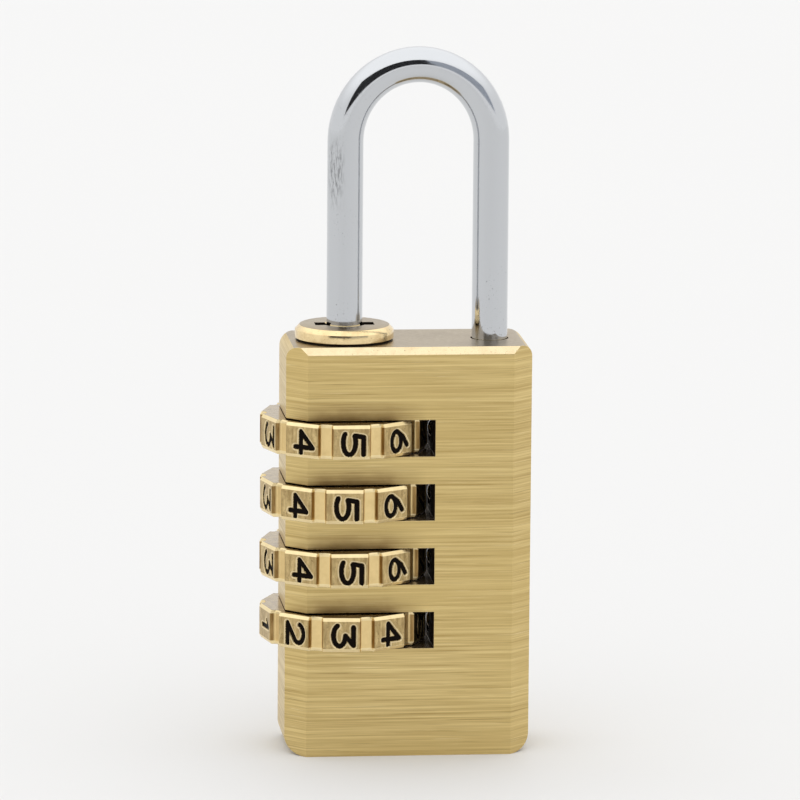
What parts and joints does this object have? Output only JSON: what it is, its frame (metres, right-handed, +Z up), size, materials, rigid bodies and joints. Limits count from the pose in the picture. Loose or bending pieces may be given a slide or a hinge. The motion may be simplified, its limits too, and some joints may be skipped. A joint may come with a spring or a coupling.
{
  "type": "combination padlock",
  "caption": "Padlock with a solid upright case, a round shackle held by a collar, and number dials stacked in slots through one side",
  "frame": {"origin": "middle of the case's flat foot, which the padlock stands on", "axes": "+Z up along the shackle's travel, -Y out of the front face, -X towards the dials"},
  "size_m": [0.024, 0.0148, 0.0632],
  "materials": {
    "brushed_brass": "brushed in long horizontal strokes, with polished top chamfers",
    "polished_brass": "turned and polished",
    "dial_brass": "satin pads with engraved digits filled black, and bright flutes between them",
    "plain_brass": "as machined",
    "chrome": "polished chrome plate with light pitting",
    "steel": "bright steel"
  },
  "bodies": {
    "case": {"lock_body": "brushed_brass", "collar": "polished_brass", "bottom_plug": "plain_brass", "spring_seat_washer": "steel", "reset_spring": "steel", "detent_spring_1": "steel", "detent_spring_2": "steel", "detent_spring_3": "steel", "detent_spring_4": "steel"},
    "shackle_assembly": {"shackle": "chrome", "retaining_clip": "steel"},
    "dial_1_body": {"dial_1": "dial_brass"},
    "dial_2_body": {"dial_2": "dial_brass"},
    "dial_3_body": {"dial_3": "dial_brass"},
    "dial_4_body": {"dial_4": "dial_brass"},
    "hub_1_body": {"hub_1": "plain_brass"},
    "hub_2_body": {"hub_2": "plain_brass"},
    "hub_3_body": {"hub_3": "plain_brass"},
    "hub_4_body": {"hub_4": "plain_brass"},
    "ball_1_body": {"detent_ball_1": "steel"},
    "ball_2_body": {"detent_ball_2": "steel"},
    "ball_3_body": {"detent_ball_3": "steel"},
    "ball_4_body": {"detent_ball_4": "steel"}
  },
  "joints": [
    {"name": "shackle_lift", "type": "slide", "parent": "case", "child": "shackle_assembly", "axis": [0, 0, 1], "range_m": [0, 0.0042]},
    {"name": "dial_1_turn", "type": "hinge", "parent": "case", "child": "dial_1_body", "pos_m": [-0.0055, 0, 0.02885], "axis": [0, 0, 1], "continuous": true},
    {"name": "dial_2_turn", "type": "hinge", "parent": "case", "child": "dial_2_body", "pos_m": [-0.0055, 0, 0.02305], "axis": [0, 0, 1], "continuous": true},
    {"name": "dial_3_turn", "type": "hinge", "parent": "case", "child": "dial_3_body", "pos_m": [-0.0055, 0, 0.01725], "axis": [0, 0, 1], "continuous": true},
    {"name": "dial_4_turn", "type": "hinge", "parent": "case", "child": "dial_4_body", "pos_m": [-0.0055, 0, 0.01145], "axis": [0, 0, 1], "continuous": true},
    {"name": "hub_4_reset_slide", "type": "slide", "parent": "dial_4_body", "child": "hub_4_body", "axis": [0, 0, 1], "range_m": [-0.0012, 0], "stiffness_N_per_m": 40, "springref_m": 0.004, "deforming": ["reset_spring"]},
    {"name": "hub_3_reset_slide", "type": "slide", "parent": "dial_3_body", "child": "hub_3_body", "axis": [0, 0, 1], "range_m": [-0.0012, 0]},
    {"name": "hub_2_reset_slide", "type": "slide", "parent": "dial_2_body", "child": "hub_2_body", "axis": [0, 0, 1], "range_m": [-0.0012, 0]},
    {"name": "hub_1_reset_slide", "type": "slide", "parent": "dial_1_body", "child": "hub_1_body", "axis": [0, 0, 1], "range_m": [-0.0012, 0]},
    {"name": "detent_ball_1_slide", "type": "slide", "parent": "case", "child": "ball_1_body", "axis": [1, 0, 0], "range_m": [0, 0.0003], "stiffness_N_per_m": 3, "springref_m": -0.001, "deforming": ["detent_spring_1"]},
    {"name": "detent_ball_2_slide", "type": "slide", "parent": "case", "child": "ball_2_body", "axis": [1, 0, 0], "range_m": [0, 0.0003], "stiffness_N_per_m": 3, "springref_m": -0.001, "deforming": ["detent_spring_2"]},
    {"name": "detent_ball_3_slide", "type": "slide", "parent": "case", "child": "ball_3_body", "axis": [1, 0, 0], "range_m": [0, 0.0003], "stiffness_N_per_m": 3, "springref_m": -0.001, "deforming": ["detent_spring_3"]},
    {"name": "detent_ball_4_slide", "type": "slide", "parent": "case", "child": "ball_4_body", "axis": [1, 0, 0], "range_m": [0, 0.0003], "stiffness_N_per_m": 3, "springref_m": -0.001, "deforming": ["detent_spring_4"]}
  ],
  "couplings": [
    {"joint": "hub_3_reset_slide", "follows": "hub_4_reset_slide", "ratio": 1},
    {"joint": "hub_2_reset_slide", "follows": "hub_4_reset_slide", "ratio": 1},
    {"joint": "hub_1_reset_slide", "follows": "hub_4_reset_slide", "ratio": 1}
  ]
}
